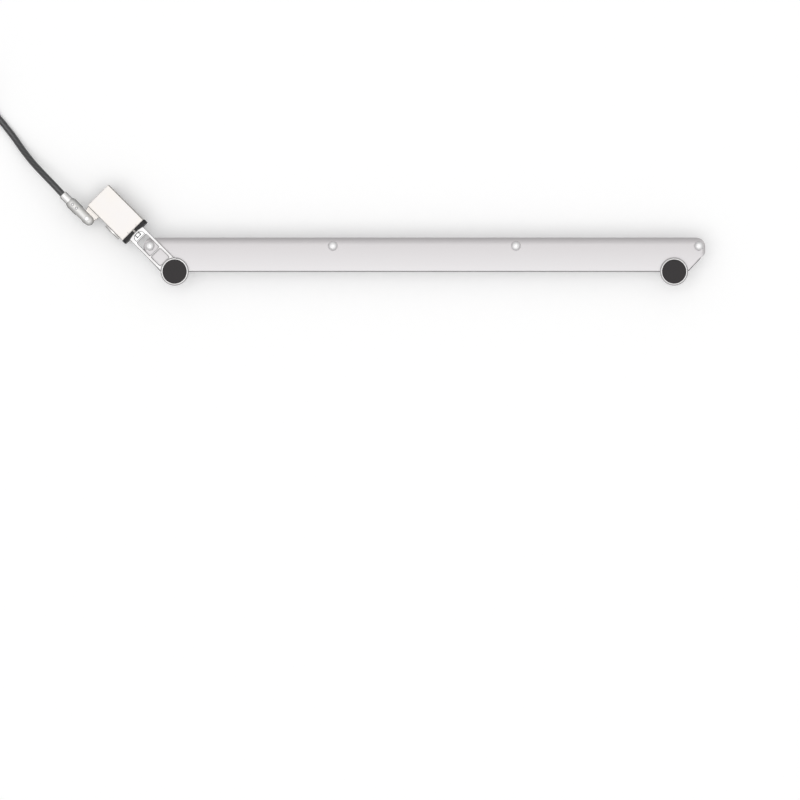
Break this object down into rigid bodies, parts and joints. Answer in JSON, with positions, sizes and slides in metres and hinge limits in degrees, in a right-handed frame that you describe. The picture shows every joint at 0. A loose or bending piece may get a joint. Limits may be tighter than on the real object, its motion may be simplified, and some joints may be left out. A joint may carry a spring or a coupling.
{
  "type": "laptop cable lock",
  "caption": "Key-operated security lock on a hinge-edge bracket plate, with T-bar slot arm, swivel link and coiled steel cable.",
  "frame": {"origin": "middle of the line of case screws, on the plate's face that lies on the laptop", "axes": "+Z away from the laptop's underside, +X along the plate away from the lock, +Y behind the laptop's hinge edge"},
  "size_m": [0.5381, 0.1546, 0.0214],
  "materials": {
    "plate_finish": "fine bead-blasted and clear anodised sheet",
    "frame_finish": "satin silver paint on a die casting",
    "pad_rubber": "matte charcoal rubber",
    "head_finish": "satin warm-white powder coat on a die casting",
    "black_plastic": "matte black glass-filled nylon",
    "tie_webbing": "matte black woven nylon strap",
    "brass": "turned brass",
    "plug_finish": "nickel-plated turned face",
    "rim_finish": "bright nickel plate",
    "nickel": "satin nickel plate",
    "screw_steel": "polished stainless steel",
    "sleeve_aluminium": "pressed aluminium",
    "sheath_vinyl": "dark translucent vinyl sheath over steel strands",
    "steel": "zinc-plated steel"
  },
  "bodies": {
    "root": {"bracket_plate": "plate_finish", "case_screws": "screw_steel", "foot_ring": "frame_finish", "foot_pad_left": "pad_rubber", "foot_pad_right": "pad_rubber", "foot_rivets": "steel", "lock_arm": "frame_finish", "nose_collar": "black_plastic", "t_bar": "steel", "t_bar_pin": "steel", "lock_housing": "head_finish", "base_cover": "head_finish", "cover_rivets": "steel", "cylinder_shell": "brass", "cylinder_rim": "rim_finish", "cylinder_pin": "steel", "carrier_spring": "steel", "swivel_lug": "head_finish", "lug_pin": "steel"},
    "key_plug": {"key_plug": "plug_finish", "drive_cam": "steel", "cam_screw": "steel"},
    "wafers": {"wafers": "brass"},
    "pin_carrier": {"pin_carrier": "steel", "locking_pins": "steel"},
    "swivel_link": {"swivel_link": "nickel", "pivot_rivet": "steel", "clamp_rivets": "steel", "ferrule": "nickel", "security_cable": "sheath_vinyl", "cable_coil": "sheath_vinyl", "coil_tie": "tie_webbing", "cable_tail": "sheath_vinyl", "end_sleeve": "sleeve_aluminium", "end_loop": "sheath_vinyl"}
  },
  "joints": [
    {"name": "plug_turn", "type": "hinge", "parent": "root", "child": "key_plug", "pos_m": [-0.193, 0.00934, -0.0059], "axis": [0.7071, 0.7071, 0], "range_deg": [0, 90]},
    {"name": "pins_slide", "type": "slide", "parent": "root", "child": "pin_carrier", "axis": [-0.7071, 0.7071, 0], "range_m": [0, 0.00297], "deforming": ["carrier_spring"]},
    {"name": "wafer_slide", "type": "slide", "parent": "key_plug", "child": "wafers", "axis": [0.7071, -0.7071, 0], "range_m": [0, 0.0005]},
    {"name": "link_swing", "type": "hinge", "parent": "root", "child": "swivel_link", "pos_m": [-0.20937, 0.01701, -0.0048], "axis": [0, 0, 1], "range_deg": [-18, 110]}
  ],
  "couplings": [
    {"joint": "plug_turn", "follows": "pins_slide", "rad_per_m": 528.89}
  ]
}
